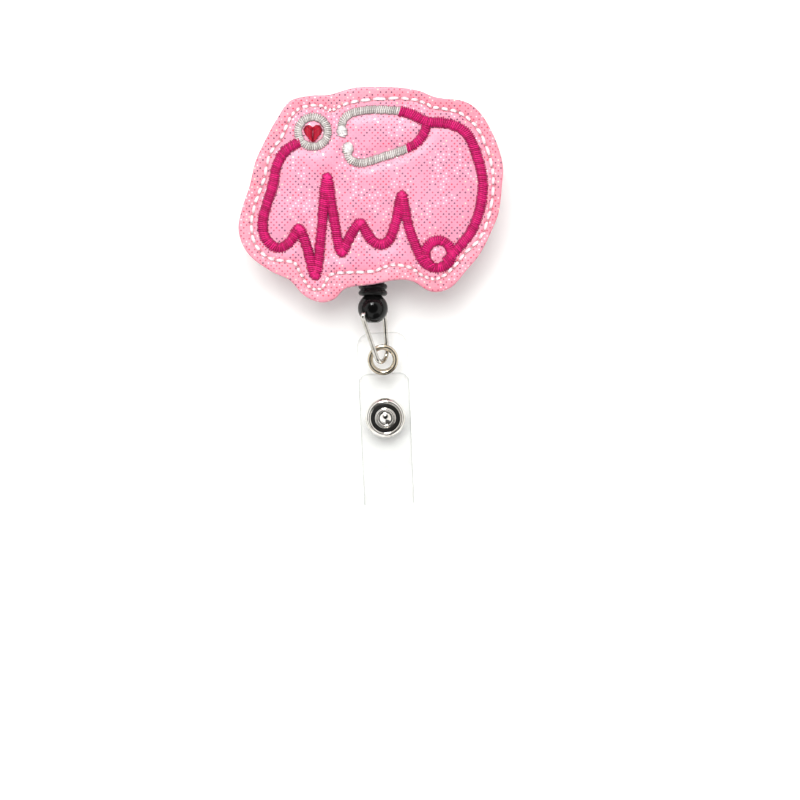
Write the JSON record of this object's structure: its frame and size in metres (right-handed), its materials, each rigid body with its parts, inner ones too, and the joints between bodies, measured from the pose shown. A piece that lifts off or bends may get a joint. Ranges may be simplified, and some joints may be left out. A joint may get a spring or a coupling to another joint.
{
  "type": "retractable badge reel",
  "caption": "Round spring-wound cord reel with a swivel pocket clip behind, an embroidered vinyl topper in front, and a clear snap strap on the cord.",
  "frame": {"origin": "on the spool axis, in the outer face of the clip's lever", "axes": "+Z out of the topper's face, -Y the way the cord pulls out, +X to the right seen from the front"},
  "size_m": [0.0557, 0.0895, 0.0165],
  "materials": {
    "black_plastic": "gloss",
    "spool_plastic": "satin",
    "spring_steel": "satin",
    "cord": "braided",
    "bead_plastic": "polished",
    "wire": "polished",
    "clear_vinyl": "clear",
    "eyelet_metal": "satin",
    "snap_metal": "polished",
    "clip_steel": "plated",
    "glue": "matte",
    "backing_vinyl": "matte",
    "face_vinyl": "dotted",
    "thread_edge": "stitched",
    "thread_tube": "satin stitch",
    "thread_silver": "satin stitch",
    "thread_white": "satin stitch",
    "thread_heart": "satin stitch"
  },
  "bodies": {
    "case": {"case_rear": "black_plastic", "case_front": "black_plastic", "mainspring": "spring_steel", "clip_rivet": "clip_steel", "glue_pad": "glue", "topper_backing": "backing_vinyl", "topper_face": "face_vinyl", "edge_stitching": "thread_edge", "satin_tube": "thread_tube", "satin_silver": "thread_silver", "satin_white": "thread_white", "satin_heart": "thread_heart"},
    "spool": {"spool": "spool_plastic", "spring_cover": "spool_plastic", "cord_winding": "cord"},
    "cord_end": {"cord_lead": "cord", "cord_knot": "cord", "cord_stop": "black_plastic"},
    "bead": {"bead": "bead_plastic"},
    "link": {"wire_link": "wire"},
    "strap": {"strap_back": "clear_vinyl", "strap_fold": "clear_vinyl", "grommet": "eyelet_metal", "grommet_washer": "eyelet_metal", "snap_post": "snap_metal", "snap_stud": "snap_metal"},
    "flap": {"strap_front": "clear_vinyl", "snap_socket": "snap_metal", "snap_cap": "snap_metal"},
    "clip": {"clip_frame": "clip_steel", "clip_pin": "clip_steel", "clip_spring": "spring_steel"},
    "jaw": {"clip_lever": "clip_steel"}
  },
  "joints": [
    {"name": "cord_pull", "type": "slide", "parent": "case", "child": "cord_end", "axis": [0, -1, 0], "range_m": [0, 0.6], "stiffness_N_per_m": 1.2, "springref_m": -0.3, "deforming": ["cord_lead"]},
    {"name": "spool_spin", "type": "hinge", "parent": "case", "child": "spool", "pos_m": [0, 0, 0.0092], "axis": [0, 0, -1], "range_deg": [0, 3060], "deforming": ["mainspring"]},
    {"name": "bead_swivel", "type": "hinge", "parent": "cord_end", "child": "bead", "pos_m": [0, -0.024, 0.0092], "axis": [0, 1, 0], "continuous": true},
    {"name": "link_swing", "type": "hinge", "parent": "bead", "child": "link", "pos_m": [0, -0.024, 0.0092], "axis": [-0.5353, -0.3744, 0.7571], "range_deg": [-45, 45]},
    {"name": "strap_swing", "type": "hinge", "parent": "link", "child": "strap", "pos_m": [0.00211, -0.0352, 0.00516], "axis": [-0.5353, -0.3744, 0.7571], "range_deg": [-42, 3]},
    {"name": "flap_open", "type": "hinge", "parent": "strap", "child": "flap", "pos_m": [0.00346, -0.06596, 0.00109], "axis": [0.999, 0.0436, 0], "range_deg": [0, 140], "deforming": ["strap_fold"]},
    {"name": "clip_swivel", "type": "hinge", "parent": "case", "child": "clip", "pos_m": [0, 0, 0.0045], "axis": [0, 0, 1], "continuous": true},
    {"name": "jaw_open", "type": "hinge", "parent": "clip", "child": "jaw", "pos_m": [0, 0.006, 0.0023], "axis": [1, 0, 0], "range_deg": [0, 18], "deforming": ["clip_spring"]}
  ],
  "couplings": [
    {"joint": "spool_spin", "follows": "cord_pull", "rad_per_m": 89}
  ]
}
